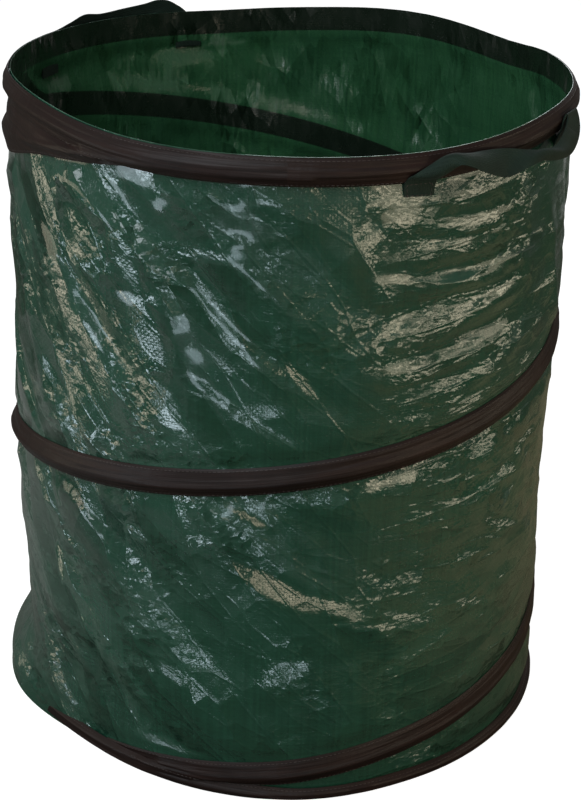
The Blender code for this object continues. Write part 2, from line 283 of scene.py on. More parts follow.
# Facets that the folds leave turned to the light. Each row: the middle's azimuth in degrees and
# drop in millimetres, length and width in millimetres, slant in degrees, and how far its face
# leans right and up
turned_facets = (
    (-42, 102, 84, 50, -50, -0.09, 0.13),
    (-52, 80, 60, 15, -55, 0.14, 0.09),
    (-45, 186, 95, 22, -32, -0.05, 0.21),
    (-38, 232, 96, 34, -64, -0.17, 0.27),
    (-47, 262, 70, 14, -70, 0.02, 0.26),
    (-31, 114, 82, 27, -62, 0.02, 0.12),
    (-26, 182, 95, 40, -68, -0.11, 0.17),
    (-14, 96, 84, 14, 2, -0.34, 0.12),
    (-22, 250, 60, 36, -60, -0.18, 0.23),
    (-29, 394, 34, 20, -30, -0.06, 0.34),
    (-20, 538, 54, 22, -15, 0.27, 0.32),
    (-3, 243, 60, 18, 0, -0.07, 0.16),
    (3, 522, 70, 22, 25, -0.20, 0.32),
    (0, 430, 130, 30, -30, 0.45, 0.41),
    (12, 452, 90, 20, -26, 0.24, 0.41),
    (21, 478, 130, 9, -10, 0.05, 0.42),
    (-6, 354, 56, 11, -25, 0.60, 0.37),
    (4, 214, 66, 10, -50, 0.33, 0.24),
    (-22, 628, 105, 13, -2, 0.33, 0.38),
    (24, 392, 120, 34, -26, 0.05, 0.14),
    (34, 452, 110, 30, -18, 0.02, 0.16),
    (-44, 560, 60, 46, -50, -0.08, 0.16),
    (-36, 500, 110, 30, -62, 0.05, 0.13),
    (39, 43, 66, 11, 12, 0.01, 0.10),
    (37, 73, 88, 12, 2, 0.06, 0.13),
    (30, 97, 150, 17, -1, 0.18, 0.16),
    (22, 62, 30, 30, -20, 0.34, 0.14),
    (37, 144, 90, 12, 3, 0.06, 0.19),
    (29, 171, 86, 27, 6, 0.23, 0.22),
    (38, 206, 46, 14, 0, 0.07, 0.25),
    (26, 213, 78, 19, 8, 0.31, 0.27),
    (39, 257, 84, 17, 10, 0.05, 0.30),
    (45, 312, 44, 24, 20, -0.04, 0.34),
    (36, 358, 60, 12, -14, 0.13, 0.40),
    (52, 407, 90, 14, -24, -0.20, 0.43),
    (60, 330, 60, 16, 20, -0.25, 0.40),
    (44, 483, 70, 12, -20, 0.0, 0.50),
    (28, 476, 90, 10, -22, 0.22, 0.50),
    (-46, 548, 30, 12, -60, -0.12, 0.60),
    (-50, 466, 60, 10, -75, 0.03, 0.50),
    (-51, 376, 60, 9, -70, 0.03, 0.40),
)
inner_facets = (
    (206, 52, 90, 26, 4, 0.05, 0.34),
    (196, 40, 60, 14, 2, 0.0, 0.34),
    (212, 84, 70, 12, 0, 0.08, 0.34),
)
# The share of the sheet's own slopes that such a facet smooths out, and how flat it is to its edge
flattened = 0.7
facet_fullness = 2.5


def turned_to_light(azimuth, height, table, facing):
    """Where the facets of a table face, which flattens the smaller creases there, and where they
    are. Facing is 1 on the outside of the sheet and -1 on its inside."""
    x = from_front(azimuth) * rim_radius
    lean = np.zeros(azimuth.shape + (3,))
    where = np.zeros(azimuth.shape)
    right = np.stack([np.cos(azimuth), np.sin(azimuth), np.zeros(azimuth.shape)], -1)
    outwards = np.stack([np.sin(azimuth), -np.cos(azimuth), np.zeros(azimuth.shape)], -1)
    for middle, drop, length, width, slant, lean_right, lean_up in table:
        middle = from_front(math.radians(middle))
        off = x - middle * rim_radius + 1j * (height - bag_height + drop / 1000)
        off = off * np.exp(-1j * math.radians(slant))
        away = np.hypot(off.real * 2000 / length, off.imag * 2000 / width)
        share = smooth((1 - away) * facet_fullness)
        faces = outwards * facing * flattened + right * lean_right + np.array((0, 0, lean_up))
        lean = lean * (1 - share[..., None]) + faces * share[..., None]
        where = np.maximum(where, share)
    return lean, where


# The crumples lie level at the front right, slant at the left and are loose round the rest. Each
# row: a facet's length and width, how far its rows fall for each metre towards the right, how far
# its corners stand in or out, and its strength at the left, the front right and the rest
level_stretch = (0.20, 0.30, 1.50, 0.40)
slanted_stretch = (-2.40, 0.50, 0.30, 0.50)
crumples = (
    (0.120, 0.042, 0.85, 0.0028, (1, 0, 0.4)),
    (0.100, 0.021, -0.12, 0.0018, (0, 1, 0.15)),
    (0.075, 0.070, 0.25, 0.0028, (0.4, 0.4, 0.9)),
    (0.034, 0.026, 0.30, 0.0011, (1, 1, 1)),
    (0.016, 0.013, 0.10, 0.00045, (1, 1, 1)),
)
# At the rear the folds lie as they fell: degrees and millimetres, as in a course
rear_folds = 26
rear_starts, rear_drops = (95, 275), (40, 560)
rear_leans, rear_falls, rear_sag = (12, 40), (20, 130), 8
rear_widths, rear_rise = (0.012, 0.026), 0.0036
# The sheet swells between the casings, which draw it in, and hangs out over the foot at the left
free_distance = 0.020
swell = 0.0030
drawn_in = 0.0005
overhang = 0.0125
overhang_top, overhang_height = 0.055, 0.035
overhang_stretch = (-2.20, 0.30, -0.66, 0.62)
# How strongly the film is crumpled, by degrees: most at the left, least at the middle of the front
crumple_strengths = (
    (-180, 1), (-110, 1.1), (-45, 1.5), (-14, 0.9), (2, 0.55), (20, 0.65), (32, 1), (180, 1),
)


def over_foot(azimuth, height):
    """How far the sheet hangs out over the foot casing."""
    low = smooth((overhang_top - height) / overhang_height)
    return within(azimuth, overhang_stretch) * low * overhang


def wall_lift(azimuth, height):
    """How far the sheet stands off the true round, which the casings hold it to."""
    free = smooth(band_distance(azimuth, height) / free_distance)
    left, right = within(azimuth, slanted_stretch), within(azimuth, level_stretch)
    rest = np.clip(1 - left - right, 0, 1)
    lift = swell
    for length, width, slope, size, strengths in crumples:
        strength = left * strengths[0] + right * strengths[1] + rest * strengths[2]
        lift = lift + facets(azimuth, height, length, width, slope, size) * strength
    for course, width, rise in long_folds:
        lift = lift + crease(azimuth, height, course, width, rise)
    for _ in range(rear_folds):
        start, drop = rng.uniform(*rear_starts), rng.uniform(*rear_drops)
        lean, fall = rng.uniform(*rear_leans), rng.uniform(*rear_falls)
        middle = (start + lean / 2, drop + fall / 2 + rear_sag)
        course = ((start, drop), middle, (start + lean, drop + fall))
        width, rise = rng.uniform(*rear_widths), rng.choice((-1, 1)) * rear_rise
        lift = lift + crease(azimuth, height, course, width, rise)
    return np.maximum(free * lift, over_foot(azimuth, height)) - drawn_in


def sheet_mesh(name, points, lays, closed=False):
    """A mesh of quads over rows of points, from the top down, each row running to the right."""
    rows, columns = points.shape[:2]
    left = np.arange(columns if closed else columns - 1)
    right = (left + 1) % columns
    upper = np.arange(rows - 1)[:, None] * columns
    lower = upper + columns
    quads = np.stack([upper + left, lower + left, lower + right, upper + right], -1).reshape(-1, 4)
    mesh = bpy.data.meshes.new(name)
    mesh.from_pydata(points.reshape(-1, 3).tolist(), [], quads.tolist())
    row, column = np.divmod(quads, columns)
    if closed:
        column[:, 2:][column[:, 2:] == 0] = columns
    lay = mesh.uv_layers.new(name="lay")
    lay.data.foreach_set("uv", lays[row, column].astype(np.float32).ravel())
    mesh.shade_smooth()
    return mesh


def put(name, mesh, finish):
    """Puts a mesh into the scene, where it lies, in its finish."""
    piece = bpy.data.objects.new(name, mesh)
    bpy.context.scene.collection.objects.link(piece)
    mesh.materials.append(finish.material)
    return piece


cut_edge_angle = math.radians(62)


def give_thickness(piece, thickness, side, inside=0):
    """Sheet thickness with a cut edge that stays sharp, as part of the mesh."""
    shell = piece.modifiers.new("Thickness", "SOLIDIFY")
    shell.thickness = thickness
    shell.offset = side
    shell.material_offset = inside
    edge = piece.modifiers.new("Cut edge", "EDGE_SPLIT")
    edge.split_angle = cut_edge_angle
    mesh = bpy.data.meshes.new_from_object(piece.evaluated_get(bpy.context.evaluated_depsgraph_get()))
    piece.modifiers.clear()
    mesh.name = piece.name
    piece.data = mesh


def mark(mesh, name, values):
    """Keeps a number or a direction for each point of a mesh, which its finish reads."""
    kind, field = ("FLOAT", "value") if values.ndim < 3 else ("FLOAT_VECTOR", "vector")
    mesh.attributes.new(name, kind, "POINT").data.foreach_set(field, values.astype(np.float32).ravel())


class Value:
    """An output of a material's nodes, which adds and multiplies like a number."""

    def __init__(self, finish, socket):
        self.finish = finish
        self.socket = socket

    def sum(self, operation, *terms):
        return self.finish.add("ShaderNodeMath", {"operation": operation}, dict(enumerate(terms)))

    def __add__(self, other):
        return self.sum("ADD", self, other)

    def __radd__(self, other):
        return self.sum("ADD", other, self)

    def __sub__(self, other):
        return self.sum("SUBTRACT", self, other)

    def __rsub__(self, other):
        return self.sum("SUBTRACT", other, self)

    def __mul__(self, other):
        return self.sum("MULTIPLY", self, other)

    def __rmul__(self, other):
        return self.sum("MULTIPLY", other, self)

    def __truediv__(self, other):
        return self.sum("DIVIDE", self, other)

    def clamped(self):
        return self.sum("MINIMUM", self.sum("MAXIMUM", self, 0.0), 1.0)

    def ramp(self, low, high):
        """0 up to the low value, 1 from the high one, and a smooth change between them."""
        settings = {"interpolation_type": "SMOOTHSTEP"}
        inputs = {"Value": self, "From Min": low, "From Max": high}
        return self.finish.add("ShaderNodeMapRange", settings, inputs)


class Finish:
    """A material, whose nodes are added by type, by settings and by what their sockets take."""

    def __init__(self, name, roughness, **constants):
        self.material = bpy.data.materials.new(name)
        self.material.use_nodes = True
        self.tree = self.material.node_tree
        self.shader = self.tree.nodes["Principled BSDF"]
        self.feed(self.shader, {"Roughness": roughness})
        self.feed(self.shader, {name.replace("_", " "): value for name, value in constants.items()})

    def feed(self, node, inputs):
        for name, value in inputs.items():
            if isinstance(name, int):
                socket = node.inputs[name]
            else:
                socket = next(s for s in node.inputs if s.name == name and s.enabled)
            if isinstance(value, Value):
                self.tree.links.new(value.socket, socket)
            else:
                socket.default_value = value

    def add(self, kind, settings, inputs, output=None):
        node = self.tree.nodes.new(kind)
        for name, value in settings.items():
            setattr(node, name, value)
        self.feed(node, inputs)
        shown = [s for s in node.outputs if s.enabled]
        return Value(self, next(s for s in shown if s.name == output) if output else shown[0])

    def vector(self, operation, *terms):
        return self.add("ShaderNodeVectorMath", {"operation": operation}, dict(enumerate(terms)))

    def mix(self, share, first, second):
        settings = {"data_type": "RGBA"}
        return self.add("ShaderNodeMix", settings, {"Factor": share, "A": first, "B": second})

    def noise(self, place, scale, detail=2.0):
        return self.add("ShaderNodeTexNoise", {}, {"Vector": place, "Scale": scale, "Detail": detail})

    def stretched(self, place, x, y):
        return self.vector("MULTIPLY", place, (x, y, 1.0))

    def scaled(self, vector, share):
        return self.add("ShaderNodeVectorMath", {"operation": "SCALE"}, {0: vector, "Scale": share})

    def lay(self):
        return self.add("ShaderNodeUVMap", {"uv_map": "lay"}, {})

    def marked(self, name, output="Fac"):
        return self.add("ShaderNodeAttribute", {"attribute_name": name}, {}, output)

    def place(self):
        return self.add("ShaderNodeTexCoord", {}, {}, "Object")

    def part(self, place, axis):
        return self.add("ShaderNodeSeparateXYZ", {}, {"Vector": place}, axis)

    def bump(self, height, normal=None):
        inputs = {"Strength": 1.0, "Distance": 1.0, "Height": height}
        if normal:
            inputs["Normal"] = normal
        return self.add("ShaderNodeBump", {}, inputs)


turned_calm = 0.65
fewest = 0.25
film_drift = 0.014
ridge_width = 0.0022
weave_tape = 0.0027
weave_height = 0.00005
grit_height = 0.00022
gloss_spread = 0.36


def creased_film(finish, lay, side, creases):
    """The normal of a crumpled film, tipped a little in each of many flat facets, and the height of
    the sharp creases between them. Facets slant to the lower right, or lie level where level is 1,
    and the small ones are busy in some places and few in others."""
    level = finish.marked("level")
    leaning = finish.marked(side + "_lean", "Vector")
    turned = finish.marked(side + "_turned")
    steady = finish.marked("crumple") * (1.0 - turned * turned_calm)
    busy = finish.noise(lay, 13.0).ramp(0.42, 0.62) * (1.0 - fewest) + fewest
    half = (0.5, 0.5, 0.5)
    drifting = {"Vector": lay, "Scale": 7.0, "Detail": 1.0}
    drift = finish.add("ShaderNodeTexNoise", {"noise_dimensions": "2D"}, drifting, "Color")
    drift = finish.vector("MULTIPLY", finish.vector("SUBTRACT", drift, half), (film_drift, film_drift, 0.0))
    place = finish.vector("ADD", lay, drift)
    normal = finish.add("ShaderNodeNewGeometry", {}, {}, "Normal")
    normal = finish.vector("ADD", finish.scaled(normal, 1.0 - turned * flattened), leaning)
    ridges = 0.0
    for length, width, slant, tip, where, ridge in creases:
        turn = (0.0, 0.0, math.radians(slant))
        slanted = {"Vector": place, "Rotation": turn, "Scale": (length, width, 1.0)}
        spot = finish.add("ShaderNodeMapping", {"vector_type": "TEXTURE"}, slanted)
        cells = {"Vector": spot, "Scale": 1.0}
        cell = finish.add("ShaderNodeTexVoronoi", {"voronoi_dimensions": "2D"}, cells, "Color")
        weight = {"level": level, "slanted": 1.0 - level, "all": busy}[where]
        lean = finish.scaled(finish.vector("SUBTRACT", cell, half), steady * weight * tip)
        normal = finish.vector("ADD", normal, lean)
        if ridge:
            settings = {"voronoi_dimensions": "2D", "feature": "DISTANCE_TO_EDGE"}
            border = finish.add("ShaderNodeTexVoronoi", settings, cells)
            ridges = ridges + (1.0 - border.ramp(0.0, ridge_width / width)) * (weight * ridge)
    return finish.vector("NORMALIZE", normal), ridges


def woven_sheet(name, side, light, dark, roughness, creases):
    """Tapes of polyethylene woven and coated: a grain of tapes under a glossy, creased film."""
    finish = Finish(name, roughness, Coat_Weight=0.30, Coat_Roughness=0.10)
    lay = finish.lay()
    worn = finish.noise(lay, 45.0, 3.0) * gloss_spread + (roughness - gloss_spread / 2)
    finish.feed(finish.shader, {"Roughness": worn})
    across, down = finish.part(lay, "X"), finish.part(lay, "Y")
    warp, weft = across / weave_tape, down / weave_tape
    over = across.sum("FLOORED_MODULO", across.sum("FLOOR", warp) + across.sum("FLOOR", weft), 2.0)
    warp_hump = across.sum("ABSOLUTE", across.sum("SINE", warp * math.pi))
    weft_hump = across.sum("ABSOLUTE", across.sum("SINE", weft * math.pi))
    weave = warp_hump * over + weft_hump * (1.0 - over)
    cloud = finish.noise(lay, 9.0, 3.0)
    strip = finish.noise(finish.stretched(lay, 370.0, 5.0), 1.0, 1.0)
    thread = finish.noise(finish.stretched(lay, 4.0, 370.0), 1.0, 1.0)
    tone = (cloud * 0.6 + strip * 0.7 + thread * 0.3 - 0.3).clamped()
    colour = finish.mix(tone, dark, light)
    normal, ridges = creased_film(finish, lay, side, creases)
    relief = ridges + finish.noise(lay, 300.0, 3.0) * grit_height + weave * weave_height
    finish.feed(finish.shader, {"Normal": finish.bump(relief, normal)})
    return finish, colour, down


# Each set of facets: length, width, slant in degrees, tip, where it lies, and height of its creases
pack_creases = (
    (0.120, 0.034, -54.0, 0.36, "slanted", 0.00025),
    (0.048, 0.019, -40.0, 0.26, "slanted", 0.00020),
    (0.085, 0.018, 5.0, 0.34, "level", 0.00025),
    (0.030, 0.012, -8.0, 0.26, "level", 0.00020),
    (0.021, 0.010, -20.0, 0.30, "all", 0.00014),
    (0.008, 0.004, 25.0, 0.36, "all", 0.00006),
)
inside_creases = (
    (0.110, 0.040, -60.0, 0.36, "all", 0.0),
    (0.034, 0.012, 62.0, 0.44, "all", 0.00014),
    (0.0030, 0.016, 0.0, 0.30, "all", 0.0),
)
outside_light, outside_dark = (0.015, 0.062, 0.037, 1), (0.006, 0.027, 0.0165, 1)
# The inside is the same green sheet, painted brighter and yellower than the outside: painted daylight that
# shines through the thin sheet.
backlit_inside_light, backlit_inside_dark = (0.028, 0.104, 0.040, 1), (0.010, 0.042, 0.023, 1)
# Painted highlight: a paler green for the sheet's top edge.
painted_edge_highlight_colour = (0.050, 0.130, 0.085, 1)
# Painted shade: the dark colour of the inside where a casing keeps daylight from shining through.
painted_casing_shade_colour = (0.008, 0.014, 0.009, 1)
outer, colour, down = woven_sheet("woven_outside", "outer", outside_light, outside_dark, 0.20, pack_creases)
# The outside is painted paler in its top millimetre: a painted highlight along the edge.
edge = down.ramp(bag_height - 0.0010, bag_height - 0.0006)
outer.feed(outer.shader, {"Base Color": outer.mix(edge, colour, painted_edge_highlight_colour)})
# The inside finish, with its painted daylight through the sheet.
inner, colour, down = woven_sheet("woven_inside_painted_backlight", "inner", backlit_inside_light, backlit_inside_dark, 0.28, inside_creases)
# Painted shade on the inside over the casings, whose tape keeps the daylight from shining through the
# sheet.
casing_shade = 1.0 - inner.marked("band").ramp(-0.0012, 0.0004)
inner.feed(inner.shader, {"Base Color": inner.mix(casing_shade, colour, painted_casing_shade_colour)})

course = np.linspace(0, math.tau, wall_columns + 1)
tuck = smooth((course - tuck_angle) / tuck_turn) * lap_tuck
course = np.concatenate([course, math.tau + np.linspace(0, lap_width / rim_radius, lap_columns)[1:]])
tuck = np.concatenate([tuck, np.full(lap_columns - 1, lap_tuck)])
azimuths, levels = np.meshgrid(lap_azimuth + course, np.linspace(bag_height, wall_bottom, wall_rows + 1))
heights = follow_rim(azimuths, levels)
wall_points = on_round(azimuths, heights, wall_lift(azimuths, heights) - tuck[None, :])
wall_lays = np.stack([np.broadcast_to(course * rim_radius, levels.shape), levels], -1)
wall = put("wall", sheet_mesh("wall", wall_points, wall_lays), outer)
wall.data.materials.append(inner.material)
mark(wall.data, "band", band_distance(azimuths, heights))
mark(wall.data, "level", within(azimuths, level_stretch))
mark(wall.data, "crumple", around(azimuths, crumple_strengths))
for side, table, facing in (("outer", turned_facets, 1), ("inner", inner_facets, -1)):
    lean, where = turned_to_light(azimuths, heights, table, facing)
    mark(wall.data, side + "_lean", lean)
    mark(wall.data, side + "_turned", where)
give_thickness(wall, sheet_thickness, -1.0, inside=1)
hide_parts("wall_panel")
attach(wall, "base")
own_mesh(wall)

# Bottom: a disc of the same sheet, sewn round its edge under the foot casing. It lies on the
# ground, with the creases of its pack.
bottom_rings = 46
bottom_columns = 180
pole_radius = 0.004
wrinkle_height = 0.0009
sewn_margin = 0.03
off_ground = 0.0001
clear_of_casings = 0.05
turns, reaches = np.meshgrid(
    np.linspace(0, math.tau, bottom_columns, endpoint=False),
    np.linspace(foot_radius, pole_radius, bottom_rings),
)
waves = np.sin(turns * 5 + reaches * 60) * np.sin(reaches * 47 + turns * 3)
wrinkle = (wrinkle_height + wrinkle_height * waves) * smooth((foot_radius - reaches) / sewn_margin)
wrinkle = wrinkle + sheet_thickness + off_ground
foot_outline = on_round(turns, 0.0, over_foot(turns, 0.0)) * (1, 1, 0) / foot_radius * reaches[..., None]
bottom_points = foot_outline + wrinkle[..., None] * (0, 0, 1)
bottom_lays = np.concatenate([bottom_points[..., :2], bottom_points[:, :1, :2]], 1)
bottom = put("bottom", sheet_mesh("bottom", bottom_points, bottom_lays, closed=True), inner)
mark(bottom.data, "band", np.full(turns.size, clear_of_casings))
mark(bottom.data, "crumple", np.ones(turns.size))


def close_holes(mesh, largest):
    """Joins ends that meet, and fills the holes whose edges are shorter than the largest length."""
    bm = bmesh.new()
    bm.from_mesh(mesh)
    bmesh.ops.remove_doubles(bm, verts=bm.verts, dist=0.00001)
    bmesh.ops.holes_fill(bm, edges=[e for e in bm.edges if e.is_boundary and e.calc_length() < largest])
    bmesh.ops.recalc_face_normals(bm, faces=bm.faces)
    bm.to_mesh(mesh)
    bm.free()


close_holes(bottom.data, pole_radius / 4)
give_thickness(bottom, sheet_thickness, -1.0)
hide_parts("bottom_panel")
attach(bottom, "base")

# Foot casing: dark brown binding tape, folded round the foot hoop and sewn to the wall's lower
# edge. It is wider at the front left, where the end of the spiral lies beside the hoop.
tape_thickness = 0.0005
wire_radius = 0.00175
wire_stand_off = 0.0030
tape_slack = 0.0007
tape_crest = wire_stand_off + wire_radius + tape_slack
tape_lap = 0.0008
foot_hoop_height = 0.0060
foot_casing_top = 0.0126
foot_casing_bottom = 0.0004
foot_widening = 0.0040
wide_foot_stretch = (-1.60, 0.30, 0.15, 0.30)
foot_strips = 12
foot_looseness = 0.6
ring_columns = 480
ring = np.linspace(0, math.tau, ring_columns, endpoint=False)

casing_tape = Finish("casing_tape", 0.50, Specular_IOR_Level=0.18)
tape_dark, tape_light = (0.0040, 0.0026, 0.0024, 1), (0.0220, 0.0100, 0.0078, 1)
lay = casing_tape.lay()
cloud = casing_tape.noise(lay, 14.0, 3.0)
streak = casing_tape.noise(casing_tape.stretched(lay, 9.0, 330.0), 1.0, 3.0)
tone = (cloud * 0.9 + streak * 0.9 - 0.45).clamped()
casing_tape.feed(casing_tape.shader, {"Base Color": casing_tape.mix(tone, tape_dark, tape_light)})
pucker = casing_tape.noise(casing_tape.stretched(lay, 130.0, 30.0), 1.0, 2.0)
fold = casing_tape.noise(casing_tape.stretched(lay, 7.0, 190.0), 1.0, 2.0)
rib = casing_tape.noise(casing_tape.stretched(lay, 900.0, 2200.0), 1.0, 1.0)
relief = casing_tape.bump(pucker * 0.0005 + fold * 0.0016 + rib * 0.00006)
casing_tape.feed(casing_tape.shader, {"Normal": relief})


def lattice_noise(columns, rows, across, down):
    """Smooth random heights from -1 to 1 over shares of a strip, which close on themselves."""
    table = rng.uniform(-1, 1, (rows + 1, columns))
    x, y = across * columns, down * rows
    i, j = np.floor(x).astype(int), np.clip(np.floor(y).astype(int), 0, rows - 1)
    fx, fy = smooth(x - i), smooth(y - j)
    i0, i1 = i % columns, (i + 1) % columns
    top = table[j, i0] * (1 - fx) + table[j, i1] * fx
    low = table[j + 1, i0] * (1 - fx) + table[j + 1, i1] * fx
    return top * (1 - fy) + low * fy


tent_power = 0.9
crest_reach = 0.0052
crest_fall = 0.0030
pucker_length, pucker_rows, pucker_height = 0.012, 4, 0.00035
roll_length, roll_rows, roll_height = 0.085, 7, 0.00090
slack_power = 0.6
full_slack_width = 0.02
pressed_width = 0.0018
pressed_in = 0.0004


def over_wires(heights, tops, bottoms, wires):
    """How far tape stands off the wall: it goes tented from edge to edge over the wires under it."""
    lifts = []
    for wire in wires:
        above, below = tops - wire, wire - bottoms
        from_top = (tops - heights) / np.where(above == 0, 1, above)
        from_bottom = (heights - bottoms) / np.where(below == 0, 1, below)
        tent = np.clip(np.minimum(from_top, from_bottom), 0, 1) ** tent_power
        crest = smooth((crest_reach - np.abs(heights - wire)) / crest_fall)
        lifts.append(tape_crest * np.maximum(tent, crest))
    return np.maximum.reduce(lifts)


def add_tape(name, azimuths, tops, bottoms, wires, strips, closed, looseness, lap, pressed):
    """A strip of tape. Its edges lie on the wall where they are pressed, and on other tape if not."""
    tops, bottoms = np.broadcast_to(tops, azimuths.shape), np.broadcast_to(bottoms, azimuths.shape)
    share = np.linspace(0, 1, strips + 1)[:, None]
    heights = tops + (bottoms - tops) * share
    along = np.broadcast_to(np.linspace(0, 1, len(azimuths), endpoint=not closed), heights.shape)
    down = np.broadcast_to(share, heights.shape)
    length = abs(azimuths[-1] - azimuths[0]) * rim_radius
    slack = np.minimum((tops - bottoms) / full_slack_width, 1) * looseness
    slack = np.sin(math.pi * share) ** slack_power * slack
    pucker = lattice_noise(round(length / pucker_length), pucker_rows, along, down) * pucker_height
    roll = lattice_noise(round(length / roll_length), roll_rows, along, down) * roll_height
    lift = np.maximum(over_wires(heights, tops, bottoms, wires) + slack * (pucker + roll), 0)
    near_edge = pressed * smooth(1 - np.minimum(tops - heights, heights - bottoms) / pressed_width)
    points = on_round(azimuths, heights, lap + lift - near_edge * (lap + pressed_in))
    if closed:
        azimuths = np.append(azimuths, math.tau)
        tops, bottoms = np.append(tops, tops[:1]), np.append(bottoms, bottoms[:1])
    lays = np.stack(np.broadcast_arrays(azimuths * rim_radius, (bottoms - tops) * share), -1)
    piece = put(name, sheet_mesh(name, points, lays, closed), casing_tape)
    give_thickness(piece, tape_thickness, 1.0)
    return piece


spiral_ease = 0.0040
hoop_depth = 0.0130
wire_pitch = 0.0040
rim_wire_height = bag_height - hoop_depth
wire_first, wire_last = math.radians(-5), math.radians(790)


def eased(excess):
    """0 for an excess far below 0, the excess itself far above it, and a soft bend between."""
    return spiral_ease * np.logaddexp(0, excess / spiral_ease)


def spiral_height(angle):
    """The spiral wire leaves the underside of the rim hoop and comes to lie on the foot hoop."""
    highest, lowest = rim_wire_height - wire_pitch, foot_hoop_height + wire_pitch
    return lowest + eased(highest - eased(highest - guide_height(angle)) - lowest)


def wires_under(azimuth, hoop):
    """The heights of a hoop and of each turn of the spiral wire at an azimuth, or -1 without wire."""
    turned_back = (-azimuth - wire_first) % math.tau + wire_first
    turns = [turned_back + k * math.tau for k in range(math.ceil(wire_last / math.tau))]
    return [hoop] + [np.where(turn < wire_last, spiral_height(turn), -1) for turn in turns]


def foot_top(azimuth):
    """The tape's upper edge."""
    return foot_casing_top + foot_widening * within(azimuth, wide_foot_stretch)


foot_casing = add_tape(
    "foot_tape",
    ring,
    foot_top(ring),
    foot_casing_bottom,
    wires_under(ring, foot_hoop_height),
    foot_strips,
    True,
    foot_looseness,
    tape_lap,
    around(ring, ((-95, 1), (-85, 0), (15, 0), (25, 1))),
)
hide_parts("foot_casing")
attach(foot_casing, "base")

# Spiral casing: the same tape, sewn along both edges over the spiral wire, from under the rim
# casing at the left to the foot casing after nearly two turns.
spiral_columns = 900
spiral_strips = 18
tape_tuck = 0.0030
spiral_lap = 0.0004
tuck_end, pressed_from = math.radians(98), math.radians(108)
angles = np.linspace(spiral_last, spiral_first, spiral_columns)
spiral_edges = band_edges(angles)
tucked = np.where(angles < tuck_end, tape_tuck, 0)
spiral_casing = add_tape(
    "spiral_tape",
    -angles,
    spiral_edges[0] + tucked,
    spiral_edges[1],
    [spiral_height(angles)],
    spiral_strips,
    False,
    1.0,
    spiral_lap,
    np.where(angles < pressed_from, 0, 1),
)
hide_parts("spiral_casing")
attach(spiral_casing, "base")
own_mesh(spiral_casing)

# Spring wire: hard drawn steel, 3.5 mm thick. One hoop lies in the rim casing and one in the foot
# casing, and the spiral between them is crimped beside both hoops.
wire_sides = 8
wire_step = 2.5
spring_steel = Finish("spring_steel", 0.30, Metallic=1.0)
drawn = spring_steel.noise(spring_steel.place(), 300.0, 2.0)
steel_colour = spring_steel.mix(drawn, (0.30, 0.30, 0.32, 1), (0.46, 0.46, 0.48, 1))
spring_steel.feed(spring_steel.shader, {"Base Color": steel_colour})


def add_wire(name, azimuths, heights, closed):
    """A round wire beside the wall, with closed ends, or closed on itself as a hoop."""
    middle = on_round(azimuths, heights, wire_stand_off)[:, None]
    outwards = np.stack([np.sin(azimuths), -np.cos(azimuths), np.zeros(azimuths.shape)], -1)[:, None]
    facing = np.linspace(0, math.tau, wire_sides, endpoint=False)[None, :, None]
    tube = middle + wire_radius * (np.cos(facing) * outwards + np.sin(facing) * np.array((0, 0, 1)))
    if closed:
        tube = np.concatenate([tube, tube[:1]])
    wire = put(name, sheet_mesh(name, tube, np.zeros((len(tube), wire_sides + 1, 2)), True), spring_steel)
    close_holes(wire.data, 2 * wire_radius)
    return wire


wire_angles = np.arange(wire_first, wire_last, math.radians(wire_step))
spiral_wire = add_wire("spiral_spring", -wire_angles, spiral_height(wire_angles), False)
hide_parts("spiral_wire")
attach(spiral_wire, "base")
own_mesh(spiral_wire)
hoop_ring = np.radians(np.arange(0, 360, wire_step))
rim_hoop = add_wire("rim_spring", hoop_ring, rim_wire_height + rim_rise(hoop_ring), True)
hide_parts("rim_hoop")
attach(rim_hoop, "rim")
foot_hoop = add_wire("foot_spring", hoop_ring, np.full(hoop_ring.shape, foot_hoop_height), True)
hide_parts("foot_hoop")
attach(foot_hoop, "base")


sleeve_gap = 0.0007
sleeve_wall = 0.0005
sleeve_turn = 0.032
sleeve_rows = 7
sleeve_sides = 24


def add_sleeve(name, node, body):
    """A crimped sleeve round a hoop and the end of the spiral, which lie one above the other."""
    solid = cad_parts[node]
    middle = sum((solid.matrix_world @ Vector(corner) for corner in solid.bound_box), Vector()) / 8
    turns = np.linspace(-sleeve_turn, sleeve_turn, sleeve_rows)
    along = (math.atan2(middle.x, -middle.y) + turns)[:, None]
    facing = np.linspace(0, math.tau, sleeve_sides, endpoint=False)[None, :]
    radius = wire_radius + sleeve_gap
    apart = np.sign(np.round(np.sin(facing), 6)) * wire_pitch / 2
    heights = middle.z + radius * np.sin(facing) + apart
    sleeve = on_round(along, heights, wire_stand_off + radius * np.cos(facing))
    lays = np.zeros((sleeve_rows, sleeve_sides + 1, 2))
    piece = put(name, sheet_mesh(name, sleeve, lays, True), spring_steel)
    give_thickness(piece, sleeve_wall, 1.0)
    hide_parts(node)
    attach(piece, body)


add_sleeve("rim_sleeve", "rim_ferrule", "rim")
add_sleeve("foot_sleeve", "foot_ferrule", "base")

# Rim casing: the widest tape, sewn along both edges outside the wall's top edge. It lies flat
# under the handles, which hold it down.
rim_lap = 0.0013
rim_edge_drop = 0.0007
rim_strips = 18
held_turn = 0.06
held_looseness = 0.25
handle_feet = np.radians((25, 66, 205, 246))


def rim_edges(azimuth):
    """The tape's upper and lower edge."""
    rise = rim_rise(azimuth)
    return bag_height - rim_edge_drop + rise, bag_height - rim_casing_width + rise


def rim_wires(azimuth):
    """The heights of the bent rim hoop and of the spiral wire's turns."""
    return wires_under(azimuth, rim_wire_height + rim_rise(azimuth))


